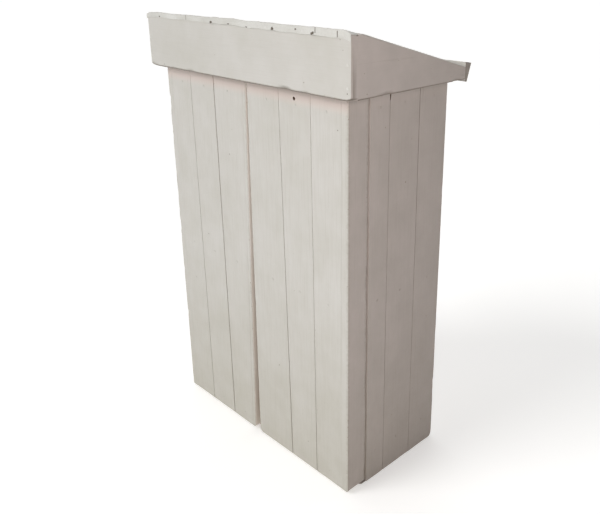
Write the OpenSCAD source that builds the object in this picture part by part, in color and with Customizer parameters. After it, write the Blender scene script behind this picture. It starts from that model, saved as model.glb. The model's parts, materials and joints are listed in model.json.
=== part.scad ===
// Cupboard beehive: a matchboard carcass with two door leaves, glazed inner windows,
// three tiers of frames in grooved linings, and a lean-to roof that telescopes over the body.
// Origin: centre of the carcass footprint, on the ground. +X right, +Y flight side, +Z up.

/* [Body] */
// Width over the side boards
body_w = 520; // [500:2:560]
// Depth from the door faces to the flight wall
body_d = 254; // [254:1:262]
// Thickness of the matchboards
board_t = 14; // [12:1:16]
// Thickness of the side linings
lining_t = 14; // [13:1:16]
// Gap left at each matchboard joint
joint_gap = 0.8; // [0.4:0.1:1.5]
// Width of the first side board, next to the door
side_board_1 = 47; // [40:1:60]
// Width of the middle side board
side_board_2 = 78; // [60:1:90]

/* [Doors] */
// Thickness of a door leaf
leaf_t = 50; // [46:1:52]
// Gap between a leaf and the carcass
leaf_gap = 1.5; // [1.2:0.1:3]
// Underside of the leaves
leaf_bottom = 4; // [4:0.5:8]
// Top of the leaves
leaf_top = 757; // [750:1:757]
// Thickness of the hinge stile
stile_t = 16; // [16:0.5:20]
// Distance of the pivot from the outer and back faces of the leaf
pivot_inset = 8; // [7:0.5:8]
// Diameter of the pivot pins
pivot_d = 6; // [5:0.5:7]

/* [Roof] */
// Underside of the roof skirts
skirt_z = 760; // [760:1:764]
// Height of the timber at the front edge of the roof
roof_front_z = 865; // [850:1:880]
// Slope of the roof, degrees
roof_pitch = 16; // [14:0.5:17]
// Thickness of the front board and the skirts
skirt_t = 15; // [12:1:18]
// Play between the front board and the body
front_play = 5; // [4:1:8]
// Play between each skirt and the body
side_play = 10; // [6:1:14]
// Thickness of the roof boards
roof_board_t = 12; // [10:1:14]
// Thickness of the sheet covering
sheet_t = 1.2; // [0.8:0.1:2]
// Depth of the covering folded down over the front edge
sheet_fold = 14; // [10:1:20]

/* [Inside] */
// Thickness of the floor board
floor_t = 22; // [20:1:24]
// Frames in each tier
frames_per_tier = 4; // [2:1:4]
// Pitch of the frames
frame_pitch = 36; // [35:0.5:36]
// Width of the frame timbers
frame_w = 25; // [22:1:25]
// Thickness of a top bar
top_bar_t = 10; // [8:1:10]
// Thickness of an end bar and a bottom bar
end_bar_t = 8; // [6:1:9]
// Thickness of a wax sheet
wax_t = 4; // [3:0.5:6]
// Thickness of a window sash
sash_t = 14; // [12:1:14]

/* [Entrance] */
// Width of the flight entrance
entrance_w = 110; // [80:2:120]
// Height of the flight entrance
entrance_h = 10; // [8:1:10]
// Bottom of the flight entrance
entrance_z = 28; // [28:1:30]
// How far the alighting board stands out
alighting_d = 53; // [40:1:60]

/* [Hidden] */
$fn = 48;

half_w = body_w / 2;
front_y = -body_d / 2;
rear_y = body_d / 2;

// Doors
leaf_back = front_y + leaf_t;
carcass_front = leaf_back + leaf_gap;
pivot_x = half_w - pivot_inset;
pivot_y = leaf_back - pivot_inset;
pivot_bore_r = pivot_d / 2 + 0.05;
pivot_bore_l = 20;
pivot_plate_r = 6;
pivot_plate_t = 2.5;
leaf_lining_t = 8;
leaf_rail_t = leaf_t - board_t - leaf_lining_t;
leaf_stile_x = half_w - stile_t;
closing_stile_w = 40;
rail_h = 50;
mid_rail_z = 360;
// Joints between a leaf's boards, as distances from the middle of the hive
right_joints = [174.7, 94.1];
left_joints = [172.1, 93.6];
// Meeting edge of each leaf, as a distance from the middle of the hive: [at the top, at the bottom]
right_edge = [2.5, -5];
left_edge = [0.6, 19.8];
peg_hole = [131.6, 744];
peg_hole_r = 2.5;

// Carcass
inner_x = half_w - board_t;
clear_x = inner_x - lining_t;
flight_lining_t = 10;
flight_inner_y = rear_y - board_t;
clear_rear_y = flight_inner_y - flight_lining_t;
head_rail_z = leaf_top + 1.5;
head_rail_t = 21.5;
tongue_l = 4.5;
tongue_t = 3.6;
chamfer = 1;
// Gap between timbers that are jointed within one sub-part
fit = 0.1;

// Roof
roof_front_y = front_y - front_play - skirt_t;
roof_x = half_w + side_play + skirt_t;
skirt_in_x = roof_x - skirt_t;
eave_y = rear_y + 14.5;
roof_play = 0.4;
// Level tops of the linings, a little below the roof boards at the flight side
lining_top = under_z(flight_inner_y) - 8;

// Tiers of frames: [underside, height]
TIERS = [[34, 232], [274, 232], [528, 159]];
TIER_NAMES = ["lower_frame", "upper_frame", "honey_frame"];
bee_space = 8;
groove_d = 9;
top_bar_l = 2 * (clear_x + groove_d - 2);
runner_t = 1;
first_frame_y = clear_rear_y - 9.5 - frame_w / 2 - (frames_per_tier - 1) * frame_pitch;
frame_half_l = clear_x - bee_space;
excluder_z = 514;
excluder_t = 6;
wire_r = 1;
wire_pitch = 6.4;
crown_z = 695;
crown_t = 9;

// Windows
sash_front = carcass_front + 12.5;
sash_x = clear_x - 1.5;
sash_stile = 28;
sash_rebate = 6;
pane_t = 2.5;
BROOD_WINDOW = [floor_t + 0.5, 513];
HONEY_WINDOW = [excluder_z + excluder_t + 0.5, 694];
knob_r = 6;
knob_l = 6;

// Entrance closer
slide_t = 3;
slide_play = 0.3;
knob_inset = 14;
slide_l = 120;
slide_x = 60;
slide_z = entrance_z - 2;
slide_h = entrance_h + 4;
guide_t = 8;
guide_end = 66;

// Small fixings
nail_head_r = 2.3;
nail_r = 1.1;
nail_proud = 0.5;

FIXED = [
    "left_side_boards", "right_side_boards", "left_side_lining", "right_side_lining",
    "flight_boards", "flight_lining", "floor_board", "head_rail", "head_boards",
    "crown_ledges", "crown_boards", "excluder_frame", "excluder_wires", "frame_runners",
    "alighting_board", "entrance_guides", "door_pivots", "pivot_screws", "wall_nails",
    "chaff_cushion", "wax_sheets"
];
DOORS = [
    "left_hinge_stile", "left_door_boards", "left_door_frame", "left_door_pad",
    "left_door_lining", "left_door_nails",
    "right_hinge_stile", "right_door_boards", "right_door_frame", "right_door_pad",
    "right_door_lining", "right_door_nails"
];
ROOF = [
    "roof_front_board", "roof_skirts", "roof_rear_fascia", "roof_boards",
    "roof_battens", "roof_sheet", "roof_nails"
];
WINDOWS = [
    "brood_sash", "brood_pane", "brood_knobs", "honey_sash", "honey_pane", "honey_knobs"
];
CLOSER = ["entrance_slide", "entrance_knob"];
FRAMES = [for (t = [0:2]) for (i = [1:frames_per_tier]) str(TIER_NAMES[t], "_", i)];

// ---------- Plain helpers ----------

// Sum of the first n entries of a list
function before(v, n) = n == 0 ? 0 : v[n - 1] + before(v, n - 1);
// Top of the roof timber at depth y
function roof_z(y) = roof_front_z - tan(roof_pitch) * (y - roof_front_y);
// Underside of the roof boards at depth y
function under_z(y) = roof_z(y) - roof_board_t / cos(roof_pitch);
// Meeting edge of a leaf at height z
function edge_x(e, z) = e[1] + (e[0] - e[1]) * (z - leaf_bottom) / (leaf_top - leaf_bottom);
// Middle of frame i, counted from the window
function frame_y(i) = first_frame_y + (i - 1) * frame_pitch;

module box(low, high) {
    translate(low) cube(high - low);
}

module both_sides() {
    children();
    mirror([1, 0, 0]) children();
}

// A profile in Y and Z, run along X from x0 to x1
module along_x(x0, x1, points) {
    translate([x0, 0, 0])
        rotate([90, 0, 90])
            linear_extrude(x1 - x0) polygon(points);
}

// A profile in X and Z, run along Y from y0 to y1
module along_y(y0, y1, points) {
    translate([0, y1, 0])
        rotate([90, 0, 0])
            linear_extrude(y1 - y0) polygon(points);
}

// Section of one matchboard: face down along x, tongue at the far edge, groove at the near edge
module board_section(w, t, tongue, groove) {
    difference() {
        union() {
            polygon([[0, chamfer], [chamfer, 0], [w - chamfer, 0], [w, chamfer], [w, t], [0, t]]);
            if (tongue) translate([w - 1, (t - tongue_t) / 2]) square([tongue_l + 1, tongue_t]);
        }
        if (groove) translate([-1, (t - tongue_t) / 2 - 0.2]) square([tongue_l + 1.5, tongue_t + 0.4]);
    }
}

// A row of matchboards of the given widths, from x = 0
module board_row(widths, t) {
    last = len(widths) - 1;
    for (i = [0:last])
        translate([before(widths, i), 0])
            board_section(widths[i] - (i < last ? joint_gap : 0), t, i < last, i > 0);
}

// A nail driven along -Z with its head just above z = 0
module nail(l) {
    translate([0, 0, -0.5]) cylinder(h = 0.5 + nail_proud, r = nail_head_r, $fn = 20);
    translate([0, 0, -l]) cylinder(h = l - 0.5, r = nail_r, $fn = 16);
}

// ---------- Carcass ----------

module side_boards() {
    widths = [side_board_1, side_board_2, rear_y - carcass_front - side_board_1 - side_board_2];
    difference() {
        intersection() {
            translate([half_w, carcass_front, 0])
                rotate(90)
                    linear_extrude(roof_front_z) board_row(widths, board_t);
            along_x(inner_x - 1, half_w + 1, [
                [carcass_front - 1, 0],
                [rear_y + 1, 0],
                [rear_y + 1, under_z(rear_y + 1) - roof_play],
                [carcass_front - 1, under_z(carcass_front - 1) - roof_play]
            ]);
        }
        // pocket for the lower pivot plate
        box([inner_x - 1, carcass_front - 1, -1],
            [pivot_x + pivot_plate_r + 0.3, carcass_front + 44, pivot_plate_t + 0.1]);
    }
}

module left_side_boards() {
    color("gainsboro") mirror([1, 0, 0]) side_boards();
}

module right_side_boards() {
    color("gainsboro") side_boards();
}

module side_lining() {
    difference() {
        box([clear_x, carcass_front, floor_t], [inner_x, flight_inner_y, lining_top]);
        for (t = TIERS) {
            top = t[0] + t[1];
            box([clear_x - 1, carcass_front - 1, top - top_bar_t - runner_t],
                [clear_x + groove_d, clear_rear_y, top + 3]);
        }
        box([clear_x - 1, carcass_front - 1, excluder_z - 0.4],
            [clear_x + 6, clear_rear_y, excluder_z + excluder_t + 0.4]);
    }
}

module left_side_lining() {
    color("burlywood") mirror([1, 0, 0]) side_lining();
}

module right_side_lining() {
    color("burlywood") side_lining();
}

module entrance_cut() {
    box([-entrance_w / 2, clear_rear_y - 5, entrance_z],
        [entrance_w / 2, rear_y + 5, entrance_z + entrance_h]);
}

module flight_boards() {
    w = 2 * inner_x / 6;
    color("gainsboro")
        difference() {
            intersection() {
                translate([inner_x, rear_y, 0])
                    rotate(180)
                        linear_extrude(roof_front_z) board_row([w, w, w, w, w, w], board_t);
                along_x(-inner_x, inner_x, [
                    [flight_inner_y - 1, 0],
                    [rear_y + 1, 0],
                    [rear_y + 1, under_z(rear_y + 1) - roof_play],
                    [flight_inner_y - 1, under_z(flight_inner_y - 1) - roof_play]
                ]);
            }
            entrance_cut();
        }
}

module flight_lining() {
    color("burlywood")
        difference() {
            box([-clear_x, clear_rear_y, floor_t], [clear_x, flight_inner_y, lining_top]);
            entrance_cut();
        }
}

module floor_board() {
    color("tan") box([-inner_x, carcass_front, 0], [inner_x, flight_inner_y, floor_t]);
}

module head_rail() {
    top = head_rail_z + head_rail_t;
    color("gainsboro")
        difference() {
            box([-half_w, front_y, head_rail_z], [half_w, carcass_front, top]);
            both_sides()
                translate([pivot_x, pivot_y, head_rail_z - 1])
                    cylinder(h = head_rail_t - 2, r = pivot_bore_r);
        }
}

// Front board, two cheeks and the breast board above the honey window
module head_boards() {
    low = head_rail_z + head_rail_t;
    cheek_y = front_y + board_t + fit;
    color("wheat") {
        along_x(-half_w, half_w, [
            [front_y, low],
            [front_y + board_t, low],
            [front_y + board_t, under_z(front_y + board_t) - roof_play],
            [front_y, under_z(front_y) - roof_play]
        ]);
        both_sides()
            along_x(inner_x, half_w, [
                [cheek_y, low],
                [carcass_front, low],
                [carcass_front, under_z(carcass_front) - roof_play],
                [cheek_y, under_z(cheek_y) - roof_play]
            ]);
        box([-clear_x, carcass_front, crown_z + 0.5], [clear_x, carcass_front + board_t, lining_top + 15]);
    }
}

module crown_ledges() {
    color("burlywood")
        both_sides()
            box([clear_x - 14, sash_front + sash_t + 2, crown_z - 6.5], [clear_x, clear_rear_y, crown_z]);
}

module crown_boards() {
    count = 3;
    y0 = carcass_front + board_t;
    w = (clear_rear_y - 0.5 - y0) / count;
    color("tan")
        for (i = [0:count - 1])
            box([1 - clear_x, y0 + i * w, crown_z], [clear_x - 1, y0 + (i + 1) * w - 0.6, crown_z + crown_t]);
}

module excluder_bars(y0, y1) {
    half = clear_x + 5;
    top = excluder_z + excluder_t;
    box([-half, y0, excluder_z], [half, y0 + 14, top]);
    box([-half, y1 - 14, excluder_z], [half, y1, top]);
    for (i = [-2:2])
        translate([i * (half - 5) / 2, 0, 0])
            box([-5, y0 + 14 + fit, excluder_z], [5, y1 - 14 - fit, top]);
}

module excluder_frame() {
    color("burlywood") excluder_bars(sash_front + 1, clear_rear_y - 0.5);
}

module excluder_wires() {
    y0 = sash_front + 15 + wire_pitch / 2;
    y1 = clear_rear_y - 14.5;
    color("silver")
        for (y = [y0:wire_pitch:y1 - wire_r])
            translate([-clear_x + 2, y, excluder_z + excluder_t / 2])
                rotate([0, 90, 0]) cylinder(h = 2 * clear_x - 4, r = wire_r, $fn = 16);
}

module frame_runners() {
    color("lightsteelblue")
        both_sides()
            for (t = TIERS) {
                z = t[0] + t[1] - top_bar_t;
                box([clear_x, sash_front + sash_t, z - runner_t], [clear_x + groove_d, clear_rear_y, z]);
            }
}

// Board and the two bearers under it
module alighting_board() {
    color("wheat") {
        along_x(-80, 80, [
            [rear_y, 6],
            [rear_y + alighting_d, 6],
            [rear_y + alighting_d, 15],
            [rear_y + alighting_d - 3, 18],
            [rear_y, 18]
        ]);
        both_sides() box([50, rear_y, 0], [66, rear_y + alighting_d - 8, 6 - fit]);
    }
}

// Two rebated strips and a stop block at each end
module entrance_guides() {
    top_z = entrance_z + entrance_h + 0.5;
    low_z = entrance_z - 0.5;
    rebate_y = rear_y + slide_t + 1;
    guide_l = slide_x + slide_l + 2;
    color("wheat")
        difference() {
            union() {
                box([-guide_end, rear_y, top_z], [guide_l + 8, rear_y + guide_t, top_z + 10]);
                box([-guide_end, rear_y, 18], [guide_l + 8, rear_y + guide_t, low_z]);
                box([-guide_end, rear_y, low_z + fit], [-guide_end + 7, rear_y + guide_t, top_z - fit]);
                box([guide_l, rear_y, low_z + fit], [guide_l + 8, rear_y + guide_t, top_z - fit]);
            }
            box([-guide_end + 7, rear_y - 1, slide_z - 1], [guide_l, rebate_y, slide_z + slide_h + 1]);
        }
}

// Upper pins in the head rail, and lower plates under the side boards with their pins
module door_pivots() {
    color("dimgray")
        both_sides() {
            translate([pivot_x, pivot_y, leaf_top - 16])
                cylinder(h = 16 + 1.5 + 18, r = pivot_d / 2);
            translate([pivot_x, pivot_y, 0]) {
                cylinder(h = 20, r = pivot_d / 2);
                cylinder(h = pivot_plate_t, r = pivot_plate_r);
            }
            box([pivot_x - pivot_plate_r, pivot_y, 0],
                [pivot_x + pivot_plate_r, carcass_front + 42, pivot_plate_t]);
        }
}

module pivot_screws() {
    color("gray")
        both_sides()
            for (y = [carcass_front + 10, carcass_front + 32])
                translate([pivot_x, y, 0]) {
                    cylinder(h = 2, r = 3.2, $fn = 24);
                    cylinder(h = 25, r = 1.5, $fn = 16);
                }
}

// Nails that hold the side and flight boards to the linings, in three rows
module wall_nails() {
    flight_w = 2 * inner_x / 6;
    color("silver")
        for (z = [60, 385, 735]) {
            both_sides()
                for (y = [carcass_front + 24, carcass_front + 86, carcass_front + 165])
                    translate([half_w, y, z]) rotate([0, 90, 0]) nail(24);
            for (i = [0:5])
                translate([-inner_x + (i + 0.5) * flight_w, rear_y, z]) rotate([-90, 0, 0]) nail(20);
        }
}

module chaff_cushion() {
    c = 14;
    x = clear_x - 4;
    y0 = carcass_front + board_t + 3;
    y1 = clear_rear_y - 3;
    color("khaki")
        translate([0, 0, crown_z + crown_t + 0.3])
            linear_extrude(50)
                polygon([
                    [-x + c, y0], [x - c, y0], [x, y0 + c], [x, y1 - c],
                    [x - c, y1], [-x + c, y1], [-x, y1 - c], [-x, y0 + c]
                ]);
}

// ---------- Frames ----------

module hive_frame(t, i) {
    low = TIERS[t][0];
    top = low + TIERS[t][1];
    y = frame_y(i);
    w = frame_w / 2;
    inner = frame_half_l - end_bar_t;
    color("navajowhite") {
        box([-top_bar_l / 2, y - w, top - top_bar_t], [top_bar_l / 2, y + w, top]);
        both_sides()
            box([inner, y - w, low], [frame_half_l, y + w, top - top_bar_t - fit]);
        box([fit - inner, y - w + 3, low], [inner - fit, y + w - 3, low + end_bar_t]);
    }
}

module wax_sheets() {
    x = frame_half_l - end_bar_t;
    color("gold")
        for (t = TIERS)
            for (i = [1:frames_per_tier])
                box([-x, frame_y(i) - wax_t / 2, t[0] + end_bar_t],
                    [x, frame_y(i) + wax_t / 2, t[0] + t[1] - top_bar_t]);
}

// ---------- Door leaves, drawn for the right-hand side ----------

// A piece between the slanting meeting edge (set back by inset) and x1
module leaf_panel(y0, y1, edge, inset, x1, z0, z1) {
    along_y(y0, y1, [
        [edge_x(edge, z0) + inset, z0],
        [x1, z0],
        [x1, z1],
        [edge_x(edge, z1) + inset, z1]
    ]);
}

module hinge_stile() {
    difference() {
        translate([0, 0, leaf_bottom])
            linear_extrude(leaf_top - leaf_bottom)
                union() {
                    translate([leaf_stile_x, front_y]) square([stile_t, pivot_y - front_y]);
                    translate([leaf_stile_x, front_y]) square([pivot_x - leaf_stile_x, leaf_t]);
                    translate([pivot_x, pivot_y]) circle(r = pivot_inset);
                }
        for (z = [leaf_bottom - 1, leaf_top - pivot_bore_l])
            translate([pivot_x, pivot_y, z]) cylinder(h = pivot_bore_l + 1, r = pivot_bore_r);
    }
}

module door_boards(joints, edge, hole) {
    reach = leaf_stile_x - min(edge);
    widths = [leaf_stile_x - joints[0], joints[0] - joints[1], joints[1] + leaf_stile_x - joints[0]];
    difference() {
        intersection() {
            translate([leaf_stile_x, front_y, leaf_bottom])
                mirror([1, 0, 0])
                    linear_extrude(leaf_top - leaf_bottom) board_row(widths, board_t);
            leaf_panel(front_y - 1, leaf_back, edge, 0, leaf_stile_x, leaf_bottom, leaf_top);
        }
        if (hole)
            translate([peg_hole[0], front_y + 10, peg_hole[1]])
                rotate([90, 0, 0]) cylinder(h = 12, r = peg_hole_r);
    }
}

// Three rails and the closing stile
module door_frame(edge) {
    y0 = front_y + board_t;
    y1 = y0 + leaf_rail_t;
    along_y(y0, y1, [
        [edge_x(edge, leaf_bottom), leaf_bottom],
        [edge_x(edge, leaf_bottom) + closing_stile_w, leaf_bottom],
        [edge_x(edge, leaf_top) + closing_stile_w, leaf_top],
        [edge_x(edge, leaf_top), leaf_top]
    ]);
    for (z = [leaf_bottom, mid_rail_z, leaf_top - rail_h])
        leaf_panel(y0, y1, edge, closing_stile_w + fit, leaf_stile_x, z, z + rail_h);
}

module door_pad(edge) {
    y0 = front_y + board_t + 0.5;
    y1 = y0 + leaf_rail_t - 1;
    inset = closing_stile_w + 1;
    leaf_panel(y0, y1, edge, inset, leaf_stile_x - 1, leaf_bottom + rail_h + 1, mid_rail_z - 1);
    leaf_panel(y0, y1, edge, inset, leaf_stile_x - 1, mid_rail_z + rail_h + 1, leaf_top - rail_h - 1);
}

module door_lining(edge) {
    leaf_panel(leaf_back - leaf_lining_t, leaf_back, edge, 0, leaf_stile_x, leaf_bottom, leaf_top);
}

module door_nails(joints) {
    xs = [(leaf_stile_x + joints[0]) / 2, (joints[0] + joints[1]) / 2, joints[1] / 2 + 10];
    for (x = xs)
        for (z = [25, mid_rail_z + rail_h / 2, leaf_top - rail_h / 2])
            translate([x, front_y, z]) rotate([90, 0, 0]) nail(32);
}

module left_hinge_stile() {
    color("whitesmoke") mirror([1, 0, 0]) hinge_stile();
}

module left_door_boards() {
    color("whitesmoke") mirror([1, 0, 0]) door_boards(left_joints, left_edge, false);
}

module left_door_frame() {
    color("burlywood") mirror([1, 0, 0]) door_frame(left_edge);
}

module left_door_pad() {
    color("khaki") mirror([1, 0, 0]) door_pad(left_edge);
}

module left_door_lining() {
    color("tan") mirror([1, 0, 0]) door_lining(left_edge);
}

module left_door_nails() {
    color("silver") mirror([1, 0, 0]) door_nails(left_joints);
}

module right_hinge_stile() {
    color("whitesmoke") hinge_stile();
}

module right_door_boards() {
    color("whitesmoke") door_boards(right_joints, right_edge, true);
}

module right_door_frame() {
    color("burlywood") door_frame(right_edge);
}

module right_door_pad() {
    color("khaki") door_pad(right_edge);
}

module right_door_lining() {
    color("tan") door_lining(right_edge);
}

module right_door_nails() {
    color("silver") door_nails(right_joints);
}

// ---------- Windows ----------

// Four timbers of a sash: two stiles and two rails, rebated in front for the pane
module sash(z) {
    opening = sash_x - sash_stile;
    rebate = opening + sash_rebate;
    back = sash_front + sash_t;
    mid = (z[0] + z[1]) / 2;
    difference() {
        union() {
            both_sides() box([opening, sash_front, z[0]], [sash_x, back, z[1]]);
            for (low = [z[0], z[1] - sash_stile])
                box([fit - opening, sash_front, low], [opening - fit, back, low + sash_stile]);
        }
        box([-rebate, sash_front - 1, z[0] + sash_stile - sash_rebate],
            [rebate, sash_front + 5, z[1] - sash_stile + sash_rebate]);
        both_sides()
            translate([sash_x - sash_stile / 2, sash_front + 8, mid])
                rotate([90, 0, 0]) cylinder(h = 10, r = 2);
    }
}

module pane(z) {
    x = sash_x - sash_stile + sash_rebate - 0.5;
    low = z[0] + sash_stile - sash_rebate + 0.5;
    high = z[1] - sash_stile + sash_rebate - 0.5;
    box([-x, sash_front + 5 - pane_t, low], [x, sash_front + 5, high]);
}

// Two turned pulls on the stiles, each with a tail in its hole
module window_knobs(z) {
    both_sides()
        translate([sash_x - sash_stile / 2, sash_front, (z[0] + z[1]) / 2])
            rotate([90, 0, 0])
                rotate_extrude()
                    polygon([
                        [0, -7], [2, -7], [2, 0], [3, 0], [2.6, 1.8], [4.4, 2.6],
                        [knob_r, 3.6], [knob_r, 4.8], [4.4, knob_l], [0, knob_l]
                    ]);
}

module brood_sash() {
    color("wheat") sash(BROOD_WINDOW);
}

module brood_pane() {
    color("lightcyan", 0.5) pane(BROOD_WINDOW);
}

module brood_knobs() {
    color("goldenrod") window_knobs(BROOD_WINDOW);
}

module honey_sash() {
    color("wheat") sash(HONEY_WINDOW);
}

module honey_pane() {
    color("lightcyan", 0.5) pane(HONEY_WINDOW);
}

module honey_knobs() {
    color("goldenrod") window_knobs(HONEY_WINDOW);
}

// ---------- Roof ----------

module roof_front_board() {
    back = roof_front_y + skirt_t;
    color("white")
        along_x(-roof_x, roof_x, [
            [roof_front_y, skirt_z],
            [back, skirt_z],
            [back, roof_z(back)],
            [roof_front_y, roof_z(roof_front_y)]
        ]);
}

module roof_skirts() {
    y0 = roof_front_y + skirt_t;
    color("whitesmoke")
        both_sides()
            along_x(skirt_in_x, roof_x, [
                [y0, skirt_z],
                [eave_y, skirt_z],
                [eave_y, roof_z(eave_y)],
                [y0, roof_z(y0)]
            ]);
}

// Bevelled eaves board: plumb inside, leaning back outside, a little proud of the roof
module roof_rear_fascia() {
    top = roof_z(eave_y) + 9;
    color("white")
        along_x(-roof_x, roof_x, [
            [eave_y, skirt_z - 3],
            [eave_y + 6, skirt_z - 4.5],
            [eave_y + 17, top - 3],
            [eave_y, top]
        ]);
}

module roof_boards() {
    count = 4;
    y0 = roof_front_y + skirt_t;
    w = (eave_y - y0) / count;
    color("tan")
        for (i = [0:count - 1]) {
            a = y0 + i * w;
            b = a + w - (i < count - 1 ? joint_gap : 0);
            along_x(-skirt_in_x, skirt_in_x, [
                [a, under_z(a)],
                [b, under_z(b)],
                [b, roof_z(b)],
                [a, roof_z(a)]
            ]);
        }
}

module roof_battens() {
    y0 = front_y + board_t + 5;
    y1 = clear_rear_y - 3;
    drop = 20;
    color("burlywood")
        both_sides()
            along_x(140, 170, [
                [y0, under_z(y0) - drop],
                [y1, under_z(y1) - drop],
                [y1, under_z(y1)],
                [y0, under_z(y0)]
            ]);
}

module roof_sheet() {
    rise = sheet_t / cos(roof_pitch);
    y0 = roof_front_y - sheet_t;
    // The sheet lies this far off the timber
    lie = 0.05;
    color("snow")
        along_x(-roof_x, roof_x, [
            [y0, roof_z(roof_front_y) - sheet_fold],
            [roof_front_y - lie, roof_z(roof_front_y) - sheet_fold],
            [roof_front_y - lie, roof_z(roof_front_y) + lie],
            [eave_y - lie, roof_z(eave_y) + lie],
            [eave_y - lie, roof_z(eave_y) + rise],
            [y0, roof_z(y0) + rise]
        ]);
}

module roof_nails() {
    fold_z = roof_z(roof_front_y) - sheet_fold / 2;
    end_x = roof_x - skirt_t / 2;
    color("silver") {
        for (x = [-270:90:270])
            translate([x, roof_front_y - sheet_t, fold_z]) rotate([90, 0, 0]) nail(14);
        both_sides() {
            for (z = [skirt_z + 20, skirt_z + 55])
                translate([end_x, roof_front_y, z]) rotate([90, 0, 0]) nail(38);
            translate([end_x, eave_y + 7, skirt_z + 3]) rotate([-90, 0, 0]) nail(28);
        }
    }
}

// ---------- Entrance closer ----------

module entrance_slide() {
    color("sienna")
        difference() {
            box([slide_x, rear_y + slide_play, slide_z],
                [slide_x + slide_l, rear_y + slide_play + slide_t, slide_z + slide_h]);
            translate([slide_x + slide_l - knob_inset, rear_y + 5, slide_z + slide_h / 2])
                rotate([90, 0, 0]) cylinder(h = 6, r = 1.2, $fn = 24);
        }
}

module entrance_knob() {
    color("goldenrod")
        translate([slide_x + slide_l - knob_inset, rear_y + slide_play + slide_t, slide_z + slide_h / 2])
            rotate([-90, 0, 0])
                rotate_extrude()
                    polygon([
                        [0, -2.5], [1.2, -2.5], [1.2, 0], [2, 0], [1.8, 5],
                        [4, 6.5], [4, 8], [2.6, 9], [0, 9]
                    ]);
}

left_side_boards();
right_side_boards();
left_side_lining();
right_side_lining();
flight_boards();
flight_lining();
floor_board();
head_rail();
head_boards();
crown_ledges();
crown_boards();
excluder_frame();
excluder_wires();
frame_runners();
alighting_board();
entrance_guides();
door_pivots();
pivot_screws();
wall_nails();
chaff_cushion();
wax_sheets();
left_hinge_stile();
left_door_boards();
left_door_frame();
left_door_pad();
left_door_lining();
left_door_nails();
right_hinge_stile();
right_door_boards();
right_door_frame();
right_door_pad();
right_door_lining();
right_door_nails();
brood_sash();
brood_pane();
brood_knobs();
honey_sash();
honey_pane();
honey_knobs();
roof_front_board();
roof_skirts();
roof_rear_fascia();
roof_boards();
roof_battens();
roof_sheet();
roof_nails();
entrance_slide();
entrance_knob();
for (t = [0:2])
    for (i = [1:frames_per_tier])
        hive_frame(t, i);
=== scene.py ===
import json
import math

import bmesh
import bpy
from mathutils import Matrix, Vector, noise
from mathutils.bvhtree import BVHTree


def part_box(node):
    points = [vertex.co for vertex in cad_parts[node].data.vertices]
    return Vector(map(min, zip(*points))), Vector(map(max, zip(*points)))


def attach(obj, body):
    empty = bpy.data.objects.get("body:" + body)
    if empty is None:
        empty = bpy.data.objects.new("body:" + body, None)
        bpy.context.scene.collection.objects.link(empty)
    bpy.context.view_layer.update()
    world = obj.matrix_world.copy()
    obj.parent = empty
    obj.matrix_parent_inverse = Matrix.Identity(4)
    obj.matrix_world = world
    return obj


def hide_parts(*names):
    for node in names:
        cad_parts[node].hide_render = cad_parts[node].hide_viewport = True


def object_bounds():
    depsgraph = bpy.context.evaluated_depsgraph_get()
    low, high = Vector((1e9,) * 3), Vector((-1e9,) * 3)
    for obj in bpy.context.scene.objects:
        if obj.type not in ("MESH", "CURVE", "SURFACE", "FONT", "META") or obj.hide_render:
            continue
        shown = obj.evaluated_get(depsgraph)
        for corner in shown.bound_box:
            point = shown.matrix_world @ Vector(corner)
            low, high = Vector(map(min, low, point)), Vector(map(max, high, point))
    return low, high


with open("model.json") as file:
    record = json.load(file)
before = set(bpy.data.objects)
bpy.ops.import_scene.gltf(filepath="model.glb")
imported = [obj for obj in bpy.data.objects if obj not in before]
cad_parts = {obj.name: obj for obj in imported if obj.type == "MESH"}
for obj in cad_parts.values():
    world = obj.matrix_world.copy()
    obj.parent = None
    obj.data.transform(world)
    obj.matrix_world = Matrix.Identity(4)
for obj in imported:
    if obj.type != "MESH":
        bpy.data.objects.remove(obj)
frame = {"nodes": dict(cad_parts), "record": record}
CAD_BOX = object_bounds()
MM = 0.001


# ----------------------------------------
# Floor board, linings and ledges. The inner box of the hive is planed pine, glued up and
# nailed. It is never painted inside, so it has darkened with age and propolis.

def linear(code):
    """An sRGB hex colour as the linear values that a shader takes."""
    parts = [int(code[i:i + 2], 16) / 255 for i in (1, 3, 5)]
    return [*(p / 12.92 if p <= 0.04045 else ((p + 0.055) / 1.055) ** 2.4 for p in parts), 1.0]


def feed(tree, node, inputs):
    """Sets a node's inputs, each to a value or to the socket that feeds it."""
    for key, value in inputs.items():
        if isinstance(value, bpy.types.NodeSocket):
            tree.links.new(value, node.inputs[key])
        else:
            node.inputs[key].default_value = value


def add(tree, kind, inputs=None, **settings):
    """Adds one node with its settings and its inputs."""
    made = tree.nodes.new("ShaderNode" + kind)
    for name, value in settings.items():
        setattr(made, name, value)
    feed(tree, made, inputs or {})
    return made


def lumps(tree, place, size, detail=2.0, roughness=0.5, distortion=0.0):
    """Cloudy noise with lumps of the given size in metres."""
    return add(tree, "TexNoise", {
        "Vector": place, "Scale": 1 / size, "Detail": detail, "Roughness": roughness,
        "Distortion": distortion}).outputs["Fac"]


def ramp(tree, value, start, end, low=0.0, high=1.0, curve="LINEAR"):
    """Turns start to end into low to high, and holds it there outside them."""
    return add(tree, "MapRange", {
        "Value": value, "From Min": start, "From Max": end, "To Min": low, "To Max": high},
        interpolation_type=curve).outputs[0]


def maths(tree, operation, *values):
    """One sum on numbers or sockets."""
    return add(tree, "Math", dict(enumerate(values)), operation=operation).outputs[0]


def blend(tree, share, under, over):
    """Lays one colour over another; each is a hex code or the socket that feeds it."""
    under, over = (linear(tone) if isinstance(tone, str) else tone for tone in (under, over))
    return add(tree, "Mix", {0: share, 6: under, 7: over}, data_type="RGBA").outputs[2]


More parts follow.
